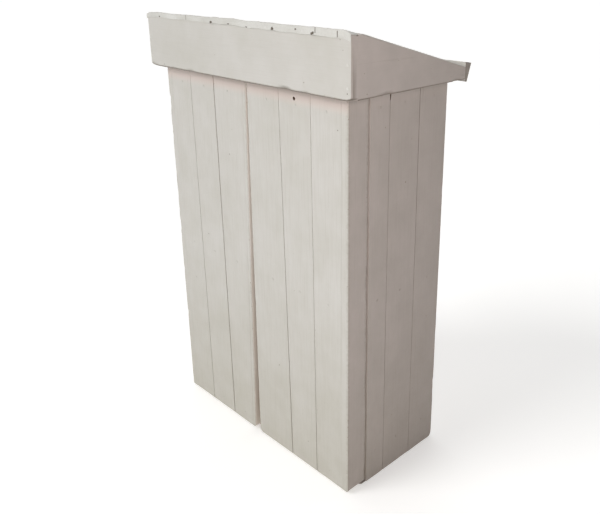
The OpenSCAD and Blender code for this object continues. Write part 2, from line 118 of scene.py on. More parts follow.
def in_place(tree):
    """Where a point of the surface lies on the hive, in metres."""
    return add(tree, "TexCoord").outputs["Object"]


def stretched(tree, place, axis, share):
    """The place squeezed along one axis, so that a pattern runs long that way."""
    scale = [1.0, 1.0, 1.0]
    scale[axis] = share
    return add(tree, "Mapping", {"Vector": place, "Scale": scale}).outputs[0]


def dress(tree, shader, colour, roughness, height, strength, depth, **settings):
    """Gives the shader its colour and roughness, and a relief of the given depth."""
    bump = add(tree, "Bump", {
        "Height": height, "Strength": strength, "Distance": depth}, **settings)
    feed(tree, shader, {"Base Color": colour, "Roughness": roughness, "Normal": bump.outputs[0]})


def new_material(name):
    """A material with its node tree and its one shader."""
    material = bpy.data.materials.new(name)
    material.use_nodes = True
    return material, material.node_tree, material.node_tree.nodes["Principled BSDF"]


def planed_pine(name, grain, pale="#BC9464", dark="#85603A", stain="#5E4025", stile=(0.0, 0.0)):
    """Planed pine with no finish: straight rings along the grain and a dry, slightly fuzzy
    surface. grain is the axis, 0 to 2, that the fibres run along; between the two distances
    in stile from the middle of the hive, the members stand upright."""
    material, tree, shader = new_material(name)
    place = in_place(tree)
    across = add(tree, "SeparateXYZ", {0: place}).outputs["X"]
    within = maths(tree, "COMPARE", maths(tree, "ABSOLUTE", across),
                   sum(stile) / 2, (stile[1] - stile[0]) / 2)
    along = add(tree, "Mix", {
        0: within, 4: stretched(tree, place, grain, 0.035), 5: stretched(tree, place, 2, 0.035)},
        data_type="VECTOR").outputs[1]
    rings = lumps(tree, along, 9 * MM, 5.0, 0.62, 0.35)
    fibre = lumps(tree, along, 0.9 * MM, 3.0, 0.6)
    cloud = lumps(tree, place, 70 * MM, 3.0)
    wood = blend(tree, ramp(tree, rings, 0.38, 0.66, curve="SMOOTHSTEP"), pale, dark)
    wood = blend(tree, ramp(tree, fibre, 0.35, 0.75, high=0.35), wood, dark)
    wood = blend(tree, ramp(tree, cloud, 0.45, 0.75, high=0.45), wood, stain)
    dress(tree, shader, wood, 0.78, fibre, 0.35, 0.15 * MM)
    return material


pine_x = planed_pine("planed_pine_lengthways", 0)
pine_y = planed_pine("planed_pine_depthways", 1)
pine_z = planed_pine("planed_pine_upright", 2)


def finish_node(node, material):
    """A CAD piece keeps its shape and takes this material."""
    piece = frame["nodes"][node]
    if not piece.material_slots:
        piece.data.materials.append(material)
    for held in piece.material_slots:
        held.material = material


for upright in ("left_side_lining", "right_side_lining"):
    finish_node(upright, pine_z)
for level in ("floor_board", "flight_lining"):
    finish_node(level, pine_x)
finish_node("crown_ledges", pine_y)


# ----------------------------------------
# Side and flight boards. Tongued and grooved softwood matchboards, nailed upright to the
# linings and brushed with many coats of off-white oil paint that bridges the small joints.

def oil_paint(name, fresh="#CDCBC6", aged="#C6C4BD", dust="#9A927F", chip="#7A5A42", streak_axis=2, wear=1.0,
              foot="#98927C", ridge=0.45, underside_shade=0.0, streaks=0.2, lid_shadow=0.0, rear_shade=0.0):
    """Old off-white oil paint on softwood, brushed along the board: a soft sheen, fine brush ridges, dirt in
    the joints and near the ground, and small chips on the worn arrises. Where asked, it also carries painted
    shade: darker to the back, a pinker painted shadow just under the roof, and dark faces that point down."""
    material, tree, shader = new_material(name)
    place = in_place(tree)
    board = add(tree, "Attribute", attribute_name="board").outputs["Vector"]
    edge = add(tree, "Attribute", attribute_name="edge").outputs["Fac"]
    shift = add(tree, "VectorMath", {0: place, 1: board}, operation="ADD").outputs[0]
    along = stretched(tree, shift, streak_axis, 0.03)
    cloud = lumps(tree, shift, 80 * MM, 5.0, 0.6)
    brush = lumps(tree, along, 2.2 * MM, 4.0, 0.65)
    grain = lumps(tree, along, 11 * MM, 3.0, distortion=0.3)
    mottle = lumps(tree, place, 7 * MM, 5.0, 0.7)
    blotch = lumps(tree, place, 60 * MM, 4.0, 0.55)
    coat = blend(tree, ramp(tree, cloud, 0.35, 0.68), fresh, aged)
    # brush marks hold a little dust, and hairline cracks run along the grain
    coat = blend(tree, ramp(tree, brush, 0.46, 0.8, high=streaks), coat, dust)
    coat = blend(tree, ramp(tree, grain, 0.715, 0.74, high=0.22 * wear), coat, "#7D6A56")
    # splash and dirt from the ground, a little patchy
    _, depth, height = add(tree, "SeparateXYZ", {0: place}).outputs
    low = ramp(tree, height, 0.0, 420 * MM, 0.7, 0.0)
    patchy = maths(tree, "MULTIPLY_ADD", blotch, 0.5, 0.25)
    coat = blend(tree, maths(tree, "MULTIPLY", low, patchy), coat, foot)
    # darker and duller towards the flight side at the back: painted shade, as the far part of each side lies
    # deeper in shade
    coat = blend(tree, ramp(tree, depth, -130 * MM, 150 * MM, high=rear_shade), coat, "#8C827A")
    # just under the roof a pinker band: painted shadow of the roof's lower edge on the walls and doors
    high = ramp(tree, height, 728 * MM, 748 * MM, high=lid_shadow, curve="SMOOTHSTEP")
    coat = blend(tree, high, coat, "#DECCC4")
    # dirt rubbed into the arrises and joints
    rub = ramp(tree, maths(tree, "MULTIPLY", edge, mottle), 0.36, 0.8, high=0.5 * wear)
    coat = blend(tree, rub, coat, dust)
    # chips down to the old brown primer
    chip_noise = lumps(tree, shift, 5 * MM, 3.0, 0.6)
    chipped = ramp(tree, maths(tree, "MULTIPLY_ADD", edge, 0.085, chip_noise), 0.775, 0.79, high=0.75 * wear)
    coat = blend(tree, chipped, coat, chip)
    # dark brown on faces that point down, under the roof's lower edges: painted shade, with some dirt
    facing = add(tree, "SeparateXYZ", {0: add(tree, "NewGeometry").outputs["Normal"]})
    coat = blend(tree, ramp(tree, facing.outputs["Z"], -0.04, -0.4, high=underside_shade), coat, "#5C4F42")
    # ridges of the brush over the raised grain
    relief = maths(tree, "MULTIPLY_ADD", chipped, -2.0, maths(tree, "MULTIPLY_ADD", grain, 1.6, brush))
    dress(tree, shader, coat, ramp(tree, mottle, 0.3, 0.7, 0.46, 0.62), relief, ridge, 0.22 * MM)
    return material


# the same paint, darker on the side walls as painted shade, and lighter in the joint behind the doors as
# painted light against the joint's shade
shaded_wall_paint = oil_paint("oil_paint_darkened_as_wall_shade", fresh="#B8ADA7", aged="#AEA49D",
                          dust="#8C8172", foot="#8A8070", lid_shadow=0.08, rear_shade=0.42)
joint_lightening_paint = oil_paint("oil_paint_lightened_against_joint_shade", fresh="#D6CDC7", aged="#CBC1BA",
                         dust="#A89C8C", wear=0.3)
# where the paint is gone: the dark wood inside a joint or hole, and the primer in a dent
bare_wood = planed_pine("dark_bare_softwood", 2, pale="#6E4B33", dark="#4A2F1F", stain="#2F1E14")
old_primer = planed_pine("old_grey_primer", 2, pale="#9A9082", dark="#857B6D", stain="#6F6558")
ARRIS = 1.3 * MM
# a side longer than this has points along it, so that it can waver
LONG_SIDE = 17 * MM
# how far apart the paint's pattern lies on neighbouring boards, in metres
BOARD_SHIFT = 0.37


def outline(corners, radii):
    """The section of a timber: its corners rounded to the given radii, with points between.
    Each point is (u, v, inward u, inward v, worn), where worn is 1 on an exposed arris."""
    count = len(corners)
    area = sum(corners[i - 1][0] * corners[i][1] - corners[i][0] * corners[i - 1][1] for i in range(count))
    if area < 0:
        corners, radii = corners[::-1], radii[::-1]
    points = []
    for i in range(count):
        here = Vector(corners[i])
        to_prev = Vector(corners[i - 1]) - here
        to_next = Vector(corners[(i + 1) % count]) - here
        reach = radii[i] / max(math.tan(to_prev.angle(to_next) / 2), 0.2)
        start = here + to_prev.normalized() * reach
        end = here + to_next.normalized() * reach
        inward = (to_prev.normalized() + to_next.normalized()).normalized()
        for step in range(5):
            k = step / 4
            spot = start * (1 - k) ** 2 + here * 2 * k * (1 - k) + end * k ** 2
            points.append((spot.x, spot.y, inward.x, inward.y, min(1.0, radii[i] / ARRIS)))
        # points along the straight side that follows
        after = radii[(i + 1) % count]
        run = to_next.normalized()
        length = to_next.length - reach - after
        stops = [length / 2]
        if length > LONG_SIDE:
            stops = [2 * MM, 6 * MM, *(length * f for f in (0.25, 0.4, 0.6, 0.75)),
                     length - 6 * MM, length - 2 * MM]
        for stop in stops:
            spot = end + run * stop
            near = min(stop, length - stop) < 3 * MM
            points.append((spot.x, spot.y, -run.y, run.x, 0.3 if near else 0.0))
    return points


def sweep(bm, place, low_section, high_section, low, high, seed, soften=0.7 * MM, wobble=0.12 * MM,
          knocks=1.0 * MM, pitch=9 * MM, share=lambda u, v: 1.0):
    """Runs a section along a timber from low(u) to high(u). place turns (u, v, along) into a point
    of the hive. The faces waver a little, the arrises are knocked back in places, and the two ends
    are softened by soften times share(u, v)."""
    edge = bm.verts.layers.float["edge"]
    board = bm.verts.layers.float["board"]
    reach = high(low_section[0][0]) - low(low_section[0][0])
    steps = max(2, round(reach / pitch))
    stations = [(0.0, soften), (0.3 * soften / reach, 0.3 * soften), (soften / reach, 0.0)]
    stations += [(i / steps, 0.0) for i in range(1, steps)]
    stations += [(1 - t, inset) for t, inset in stations[2::-1]]
    rings = []
    for t, inset in stations:
        ring = []
        for a, b in zip(low_section, high_section):
            u = a[0] * (1 - t) + b[0] * t
            v = a[1] * (1 - t) + b[1] * t
            s = low(u) * (1 - t) + high(u) * t
            waver = noise.noise(Vector((u * 9, v * 9, s * 5 + seed * 7.3))) * wobble
            dent = noise.noise(Vector((s * 30, seed * 3.7, a[2] * 2)))
            dent += 0.5 * noise.noise(Vector((s * 95, seed, a[2])))
            knock = max(0.0, dent - 0.2) * knocks * 1.8 if a[4] > 0.9 else 0.0
            move = inset * share(u, v) + waver + knock
            vert = bm.verts.new(place(u + a[2] * move, v + a[3] * move, s))
            vert[edge] = max(a[4], 0.9 if inset and share(u, v) > 0.5 else 0.0)
            vert[board] = seed * BOARD_SHIFT
            ring.append(vert)
        rings.append(ring)
    for first, second in zip(rings, rings[1:]):
        for i in range(len(first)):
            bm.faces.new((first[i - 1], first[i], second[i], second[i - 1]))
    bm.faces.new(rings[0])
    bm.faces.new(rings[-1])


def start_timber():
    """A mesh to sweep timbers into, with the two values that the paint reads."""
    bm = bmesh.new()
    bm.verts.layers.float.new("edge")
    bm.verts.layers.float.new("board")
    return bm


def to_piece(bm, name, material, smooth_angle=40):
    """Turns a mesh under construction into an object with smooth faces and sharp arrises."""
    bmesh.ops.recalc_face_normals(bm, faces=bm.faces)
    mesh = bpy.data.meshes.new(name)
    bm.to_mesh(mesh)
    bm.free()
    piece = bpy.data.objects.new(name, mesh)
    bpy.context.scene.collection.objects.link(piece)
    mesh.materials.append(material)
    mesh.polygons.foreach_set("use_smooth", [True] * len(mesh.polygons))
    mesh.set_sharp_from_angle(angle=math.radians(smooth_angle))
    return piece


body_of_node = {
    node: body for body, members in frame["record"]["behaviour"]["bodies"].items() for node in members}


def repaint(piece, material, where):
    """Faces that where(centre, normal) picks take another material."""
    piece.data.materials.append(material)
    for face in piece.data.polygons:
        if face.material_index == 0 and where(face.center, face.normal):
            face.material_index = len(piece.data.materials) - 1


def stand_for(piece, node):
    """The piece takes a CAD node's place on its body, and the node is hidden."""
    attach(piece, body_of_node[node])
    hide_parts(node)


# a matchboard's thickness, and the length and thickness of its tongue
BOARD_T, TONGUE_L, TONGUE_T = 14 * MM, 4.2 * MM, 3.6 * MM


def board_section(u0, u1, radii, tongue, groove, bead=0.0):
    """A matchboard's section between u0 and u1, with its face at v = 0. A bead is set off by a
    shallow quirk that far in from u0."""
    mid = BOARD_T / 2
    corners, sizes = [(u0, 0.0)], [radii[0]]
    if bead:
        corners += [(u0 + bead - 1 * MM, 0.0), (u0 + bead, 0.7 * MM), (u0 + bead + 1 * MM, 0.0)]
        sizes += [0.3 * MM] * 3
    corners.append((u1, 0.0))
    sizes.append(radii[1])
    if tongue:
        corners += [(u1, mid - TONGUE_T / 2), (u1 + TONGUE_L, mid - TONGUE_T / 2),
                    (u1 + TONGUE_L, mid + TONGUE_T / 2), (u1, mid + TONGUE_T / 2)]
        sizes += [0.2 * MM] * 4
    corners += [(u1, BOARD_T), (u0, BOARD_T)]
    sizes += [0.4 * MM] * 2
    if groove:
        slot = TONGUE_T / 2 + 0.2 * MM
        depth = TONGUE_L + 0.6 * MM
        corners += [(u0, mid + slot), (u0 + depth, mid + slot), (u0 + depth, mid - slot), (u0, mid - slot)]
        sizes += [0.2 * MM] * 4
    return outline(corners, sizes)


def ragged(level, seed, depth=1.1 * MM):
    """A sawn and worn end: a level that dips in and out a little across the board."""
    return lambda u: level + depth * (noise.noise(Vector((u * 22, seed * 1.7, 0.0))) + 0.4)


def rubbed_corner(level, corner, size):
    """An end whose corner at u = corner is rubbed round over the given size."""
    return lambda u: level(u) + size * max(0.0, 1 - abs(u - corner) / size) ** 2


def cutter_box(low, high):
    """A closed box between two corners, to saw with."""
    bm = bmesh.new()
    bmesh.ops.create_cube(bm, size=1.0)
    for vert in bm.verts:
        vert.co = Vector([low[k] + (vert.co[k] + 0.5) * (high[k] - low[k]) for k in range(3)])
    return bm


def bore(bm, centre, axis, radius, length, squeeze=1.0):
    """Adds a round cutter, a little irregular when squeezed, along X, Y or Z."""
    turn = {"X": Matrix.Rotation(math.pi / 2, 4, "Y"),
            "Y": Matrix.Rotation(math.pi / 2, 4, "X"), "Z": Matrix()}[axis]
    bmesh.ops.create_cone(
        bm, cap_ends=True, segments=24, radius1=radius, radius2=radius * squeeze, depth=length,
        matrix=Matrix.Translation(centre) @ turn)


def dents(spots, axis, faces, length, squeeze):
    """Round cutters for shallow knocks in faces that lie across X or Y. Each spot is its place
    along the face, its height and its radius, in millimetres."""
    bm = bmesh.new()
    for face in faces:
        for along, up, radius in spots:
            centre = (face, along * MM, up * MM) if axis == "X" else (along * MM, face, up * MM)
            bore(bm, centre, axis, radius * MM, length, squeeze)
    return bm


def baked(piece):
    """The piece's mesh with its modifiers worked in; they are then taken off."""
    bpy.context.view_layer.update()
    mesh = bpy.data.meshes.new_from_object(piece.evaluated_get(bpy.context.evaluated_depsgraph_get()))
    piece.modifiers.clear()
    return mesh


def subtract(piece, bm, finish):
    """Takes closed meshes out of a piece for good; the cut faces get their own finish."""
    mesh = bpy.data.meshes.new("cutter")
    bm.to_mesh(mesh)
    bm.free()
    mesh.materials.append(finish)
    cutter = bpy.data.objects.new("cutter", mesh)
    bpy.context.scene.collection.objects.link(cutter)
    saw = piece.modifiers.new("saw", "BOOLEAN")
    saw.operation = "DIFFERENCE"
    saw.solver = "EXACT"
    saw.material_mode = "TRANSFER"
    saw.object = cutter
    piece.data = baked(piece)
    bpy.data.objects.remove(cutter)


side_low, side_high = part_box("right_side_boards")
ROOF_SLOPE = math.tan(math.radians(16))


def wall_top(y):
    """Height of the side walls at depth y, parallel to the roof."""
    return side_high.z - ROOF_SLOPE * (y - side_low.y)


# where the boards meet, and how far their arrises are rounded there
side_joints = [side_low.y - 0.5 * MM, side_low.y + 47 * MM, side_low.y + 125 * MM, side_high.y]
side_arris = [0.3 * MM, 0.9 * MM, 0.9 * MM, 4.0 * MM]
# width of the open joint after each board, at the bottom and at the top
side_gaps = [(0.5 * MM, 0.8 * MM), (0.35 * MM, 1.2 * MM), (0.0, 0.0)]
SIDE_DENTS = ((16, 593, 1.5), (-40, 700, 1.1), (30, 668, 0.8), (92, 300, 1.0), (-6, 120, 0.9), (58, 150, 0.8))
for side, name in ((1, "right_side_boards"), (-1, "left_side_boards")):
    bm = start_timber()
    for i, (y0, y1) in enumerate(zip(side_joints, side_joints[1:])):
        sections = [board_section(y0, y1 - gap, side_arris[i:i + 2], i < 2, i > 0) for gap in side_gaps[i]]
        foot = rubbed_corner(ragged(side_low.z, i + side), side_joints[-1], 9 * MM)
        sweep(bm, lambda u, v, s: Vector((side * (side_high.x - v), u, s)), *sections,
              foot, wall_top, seed=11 + i + 5 * side)
    # both side walls take the darker copy of the paint: painted shade
    wall = to_piece(bm, "painted_" + name, shaded_wall_paint)
    face_x = side * side_high.x
    subtract(wall, dents(SIDE_DENTS, "X", [face_x], 1.4 * MM, 0.7), old_primer)
    # a gap at the top of the first joint, where the tongue has broken away
    wedge = cutter_box((face_x - 6 * MM, side_joints[1] - 1.2 * MM, 740 * MM),
                       (face_x + 6 * MM, side_joints[1] - 0.4 * MM, 778 * MM))
    for vert in wedge.verts:
        if vert.co.z > 759 * MM and vert.co.y > side_joints[1] - 0.8 * MM:
            vert.co.y = side_joints[1] + 4.6 * MM
    subtract(wall, wedge, bare_wood)
    # the boards' front edges, in the joint behind the doors, take a lighter paint: painted light against the
    # joint's shade
    repaint(wall, joint_lightening_paint, lambda centre, normal: normal.y < -0.6 and centre.y < side_low.y)
    stand_for(wall, name)

flight_low, flight_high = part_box("flight_boards")
bm = start_timber()
flight_w = (flight_high.x - flight_low.x) / 6
for i in range(6):
    u0 = flight_low.x + i * flight_w
    gap = 0 if i == 5 else 0.8 * MM
    section = board_section(u0, u0 + flight_w - gap, (ARRIS, ARRIS), i < 5, i > 0)
    sweep(bm, lambda u, v, s: Vector((u, flight_high.y - v, s)), section, section,
          ragged(flight_low.z, 30 + i), lambda u: flight_high.z, seed=31 + i)
# the flight boards take the same darker copy: painted shade
flight = to_piece(bm, "painted_flight_boards", shaded_wall_paint)
# the flight hole, above the alighting board
hole = cutter_box((-55 * MM, flight_low.y - 10 * MM, 28 * MM), (55 * MM, flight_high.y + 10 * MM, 38 * MM))
subtract(flight, hole, bare_wood)
stand_for(flight, "flight_boards")


# ----------------------------------------
# Head rail and head boards. The rail closes the top of the doorway and holds the upper
# pins; the boards above it are painted too, but the roof skirts keep them clean.

finish_node("head_rail", oil_paint("oil_paint_on_level_boards", streak_axis=0, wear=0.6))
finish_node("head_boards", oil_paint("oil_paint_under_the_roof", fresh="#DAD5C8", aged="#CBC3B2", wear=0.3))


# ----------------------------------------
# Frames, runners, wax and queen excluder. Pine frames hang by their lugs on galvanised
# strips; each holds a thin sheet of beeswax rolled with the pattern of cells.

def dull_metal(name, pale, dark, roughness, spot=14 * MM):
    """Bare metal that has been in the air for years: patchy tone and soft, uneven reflections."""
    material, tree, shader = new_material(name)
    patch = lumps(tree, in_place(tree), spot, 6.0, 0.7)
    colour = blend(tree, ramp(tree, patch, 0.38, 0.62), pale, dark)
    gloss = ramp(tree, patch, 0.3, 0.7, roughness - 0.1, roughness + 0.12)
    dress(tree, shader, colour, gloss, patch, 0.25, 0.1 * MM)
    shader.inputs["Metallic"].default_value = 1.0
    return material


zinc = dull_metal("galvanised_steel", "#B4B7B9", "#8A8E90", 0.45)
for node in ("frame_runners", "excluder_wires"):
    finish_node(node, zinc)
finish_node("excluder_frame", pine_x)


def beeswax(name):
    """A rolled sheet of beeswax: warm yellow and softly waxy, pressed with cells 5.4 mm across,
    and browner where bees have walked on it."""
    material, tree, shader = new_material(name)
    place = in_place(tree)
    cells = add(tree, "TexVoronoi", {
        "Vector": place, "Scale": 1 / (5.4 * MM), "Randomness": 0.12}, feature="DISTANCE_TO_EDGE")
    inside = ramp(tree, cells.outputs["Distance"], 0.02, 0.2)
    cloud = lumps(tree, place, 60 * MM, 4.0)
    body = blend(tree, ramp(tree, cloud, 0.4, 0.7), "#D9A63F", "#A8742A")
    dress(tree, shader, blend(tree, inside, "#E3B95C", body), 0.42, inside, 0.8, 0.8 * MM, invert=True)
    shader.inputs["Subsurface Weight"].default_value = 0.12
    return material


finish_node("wax_sheets", beeswax("rolled_beeswax"))
frame_pine = planed_pine("frame_pine", 0, pale="#CFA670", dark="#9A7044", stain="#6E4826")
for tier in ("lower", "upper", "honey"):
    for place_in_row in range(1, 5):
        finish_node(f"{tier}_frame_{place_in_row}", frame_pine)


# ----------------------------------------
# Crown boards and chaff cushion. Thin boards close the top of the comb space, and a
# sacking cushion stuffed with chaff lies on them to keep the warmth in.

finish_node("crown_boards", pine_x)


def sacking(name):
    """Plain-woven jute sacking: a coarse square weave, dusty and dull. The threads are drawn
    2.6 mm apart, twice the real spacing, so that the weave shows."""
    material, tree, shader = new_material(name)
    place = in_place(tree)
    warp, weft = (add(tree, "TexWave", {
        "Vector": place, "Scale": math.tau / (20 * 2.6 * MM), "Distortion": 0.8, "Detail": 1.0},
        wave_type="BANDS", bands_direction=direction).outputs["Fac"] for direction in ("X", "Y"))
    weave = maths(tree, "MULTIPLY", warp, weft)
    body = blend(tree, ramp(tree, lumps(tree, place, 45 * MM, 5.0), 0.35, 0.65), "#C2A87C", "#9F855B")
    dress(tree, shader, blend(tree, weave, "#7A6340", body), 0.95, weave, 0.7, 0.5 * MM)
    shader.inputs["Sheen Weight"].default_value = 0.3
    return material


jute = sacking("jute_sacking")
cushion_low, cushion_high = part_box("chaff_cushion")
cushion_mid = (cushion_low + cushion_high) / 2
cushion_half = (cushion_high - cushion_low) / 2
SEAM_Z = cushion_low.z + 22 * MM
SEAM_RADIUS = 1.5 * MM
FILLING_STEPS, MOST_SWELL = 20, 11 * MM


def clamp(value, low, high):
    """The value, held between two others."""
    return max(low, min(high, value))


def cushion_form():
    """A pillow to be filled: two panels joined at a seam, its sides drawn in between the corners."""
    bm = bmesh.new()
    across, deep = 64, 26
    half_x, half_y = cushion_half.x * 0.965, cushion_half.y * 0.92
    grid = {}
    for upper in (0, 1):
        for i in range(across + 1):
            for j in range(deep + 1):
                p, q = 2 * i / across - 1, 2 * j / deep - 1
                rim = max(abs(p), abs(q)) > 0.999
                if upper and rim:
                    grid[1, i, j] = grid[0, i, j]
                    continue
                draw_x = 1 - 0.022 * (1 - q * q)
                draw_y = 1 - 0.06 * (1 - p * p)
                crown = 0.0 if rim else ((1 - p ** 8) * (1 - q ** 4)) ** 0.4
                rise = (17 if upper else -18) * MM * crown
                grid[upper, i, j] = bm.verts.new((
                    p * half_x * draw_x, cushion_mid.y + q * half_y * draw_y, SEAM_Z + rise))
    for upper in (0, 1):
        for i in range(across):
            for j in range(deep):
                loop = [grid[upper, i + a, j + b] for a, b in ((0, 0), (1, 0), (1, 1), (0, 1))]
                bm.faces.new(loop if upper else loop[::-1])
    return bm


cushion = to_piece(cushion_form(), "chaff_cushion_sacking", jute, 180)
skin = cushion.modifiers.new("skin", "REMESH")
skin.mode = "VOXEL"
skin.voxel_size = 5 * MM
cushion.data = baked(cushion)
start_shape = [vert.co.copy() for vert in cushion.data.vertices]
fill = cushion.modifiers.new("fill", "CLOTH")
fill.settings.use_pressure = True
fill.settings.uniform_pressure_force = 4.0
fill.settings.effector_weights.gravity = 0.0
fill.point_cache.frame_end = FILLING_STEPS
for step in range(1, FILLING_STEPS + 1):
    bpy.context.scene.frame_set(step)
mesh = baked(cushion)
bpy.context.scene.frame_set(1)
for vert, before in zip(mesh.vertices, start_shape):
    move = vert.co - before
    if move.length > MOST_SWELL:
        move = move.normalized() * MOST_SWELL
    spot = before + move
    # puckers of the uneven chaff, then flat where it rests and clear of the boards around it
    spot.z += 1.6 * MM * noise.noise(spot * 26) * (spot.z > SEAM_Z)
    vert.co = [clamp(spot[k], cushion_low[k], cushion_high[k]) for k in range(3)]
cushion.data = mesh
smooth = cushion.modifiers.new("smooth", "SUBSURF")
smooth.levels = smooth.render_levels = 1
cushion.data = baked(cushion)
cushion.data.polygons.foreach_set("use_smooth", [True] * len(cushion.data.polygons))
stand_for(cushion, "chaff_cushion")


def tube(points, radius, name, material, sides=8):
    """A closed cord of round section through the points."""
    bm = bmesh.new()
    rings = []
    turns = [k * math.tau / sides for k in range(sides)]
    for i, here in enumerate(points):
        run = (points[(i + 1) % len(points)] - points[i - 1]).normalized()
        side = run.cross(Vector((0, 0, 1))).normalized()
        up = side.cross(run)
        rings.append([bm.verts.new(here + (side * math.cos(a) + up * math.sin(a)) * radius) for a in turns])
    for i, first in enumerate(rings):
        second = rings[(i + 1) % len(rings)]
        for k in range(sides):
            bm.faces.new((first[k - 1], first[k], second[k], second[k - 1]))
    return to_piece(bm, name, material, 60)


# the rolled seam where the two panels are sewn together
cushion_skin = BVHTree.FromPolygons(
    [vert.co for vert in cushion.data.vertices], [list(face.vertices) for face in cushion.data.polygons])
seam, seam_points = [], 160
for i in range(seam_points):
    turn = i / seam_points * math.tau
    # a rounded rectangle of rays, seen from above
    aim = Vector((math.copysign(abs(math.cos(turn)) ** 0.5, math.cos(turn)) * cushion_half.x,
                  math.copysign(abs(math.sin(turn)) ** 0.5, math.sin(turn)) * cushion_half.y, 0))
    start = Vector((0, cushion_mid.y, SEAM_Z)) + aim * 1.3
    hit = cushion_skin.ray_cast(start, -aim.normalized())[0]
    if hit:
        hit -= aim.normalized() * 0.9 * MM
        hit.x = clamp(hit.x, cushion_low.x + 1.6 * MM, cushion_high.x - 1.6 * MM)
        hit.y = clamp(hit.y, cushion_low.y + 1.6 * MM, cushion_high.y - 1.6 * MM)
        seam.append(hit)
cushion_seam = tube(seam, SEAM_RADIUS, "chaff_cushion_seam", jute)
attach(cushion_seam, "carcass")


# ----------------------------------------
# Windows. A pine sash with a pane of drawn glass closes each comb space behind the doors,
# and two brass pulls draw it out.

def drawn_glass(name):
    """Thin drawn sheet glass, faintly green, with the slight waves of old panes."""
    material, tree, shader = new_material(name)
    dress(tree, shader, linear("#F0F6F2"), 0.03, lumps(tree, in_place(tree), 80 * MM, 1.0), 0.1, 0.5 * MM)
    shader.inputs["IOR"].default_value = 1.5
    shader.inputs["Transmission Weight"].default_value = 1.0
    return material


glass = drawn_glass("drawn_sheet_glass")
brass = dull_metal("dulled_brass", "#B9924C", "#86652F", 0.35, spot=5 * MM)
SASH_STILE = 28 * MM
for tier in ("brood", "honey"):
    sash_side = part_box(tier + "_sash")[1].x
    finish_node(tier + "_sash", planed_pine(
        f"planed_pine_{tier}_sash", 0, stile=(sash_side - SASH_STILE, sash_side + 1 * MM)))
    finish_node(tier + "_pane", glass)
    finish_node(tier + "_knobs", brass)


# ----------------------------------------
# Door pivots. Iron pins in the head rail and on plates under the side boards, worn but still
# painted over with the rest, and wood screws left dark and lightly rusted.

iron = dull_metal("rusted_iron", "#3A3531", "#5B3A26", 0.6, spot=6 * MM)
finish_node("pivot_screws", iron)
finish_node("door_pivots", oil_paint(
    "worn_paint_on_pivots", fresh="#A89F98", aged="#8C837B", dust="#6F665C", foot="#8C837B", chip="#4A3325"))


# ----------------------------------------
# Door leaves. Each leaf is a shallow box: a deep hinge stile, rails and a closing stile,
# three matchboards in front, straw slabs inside and a thin lining behind.

CLOSING_STILE = 40 * MM
door_pine = planed_pine("planed_pine_door_frames", 0, stile=(0.0, CLOSING_STILE + 19.8 * MM))
for side in ("left", "right"):
    finish_node(side + "_door_frame", door_pine)
    finish_node(side + "_door_lining", pine_z)

# the doors carry the painted shadow under the roof most strongly
paint_doors = oil_paint("oil_paint_on_doors", lid_shadow=0.65)
# a lighter copy of the paint: painted light for the shaded closing edges
closing_edge_lightening_paint = oil_paint("oil_paint_lightened_against_gap_shade", fresh="#EAE4DD", aged="#DFD7CF",
                          dust="#C4B8A9", wear=0.3, foot="#BFB4A2")


def tight_straw(name):
    """Rye straw pressed and sewn into a slab: glossy yellow stalks side by side, each about 4 mm."""
    material, tree, shader = new_material(name)
    stalk = lumps(tree, stretched(tree, in_place(tree), 2, 0.02), 4 * MM, 3.0)
    colour = blend(tree, ramp(tree, stalk, 0.35, 0.65), "#D9BE76", "#94763A")
    dress(tree, shader, colour, 0.5, stalk, 0.9, 1.2 * MM)
    return material


straw = tight_straw("pressed_rye_straw")
# the two joints of each leaf, at the bottom and at the top; the boards are not quite parallel
LEAF_JOINTS = {"right": ((173.7 * MM, 171.5 * MM), (100.5 * MM, 90.5 * MM)),
               "left": ((172.1 * MM, 177.0 * MM), (93.6 * MM, 98.5 * MM))}
# distance of each meeting edge from the middle of the hive, at the bottom and at the top
LEAF_EDGES = {"right": (-5 * MM, 2.5 * MM), "left": (19.8 * MM, 0.6 * MM)}
# open width of each joint, at the bottom and at the top, where paint has closed it
LEAF_GAPS = {"right": ((0.9 * MM, 0.45 * MM), (1.6 * MM, 0.5 * MM)),
             "left": ((0.9 * MM, 0.8 * MM), (1.8 * MM, 1.7 * MM))}
# dents in the right leaf, and on the left leaf a nail head that has lost its paint
LEAF_DENTS = {"right": ((68, 200, 1.3), (178, 150, 1.0), (150, 62, 0.9), (236, 706, 1.2)),
              "left": ((133.6, 25, 2.6), (150, 420, 0.9), (60, 610, 0.9), (210, 300, 0.9))}
# the latch hole and its broken edge: x, depth of the middle, z, radius, length, squeeze
LATCH_HOLE = ((131.6, 4.4, 744, 2.5, 11.2, 1.0), (132.3, 0, 742.8, 3.1, 1.6, 0.8))
RAIL_H, MID_RAIL_Z = 50 * MM, 360 * MM
PIVOT_X, PIVOT_Y, PIVOT_BORE, PIVOT_DEPTH = 252 * MM, -85 * MM, 3.05 * MM, 20 * MM
STRAW_BUNDLES, STRAW_BULGE = 14, 2.4 * MM

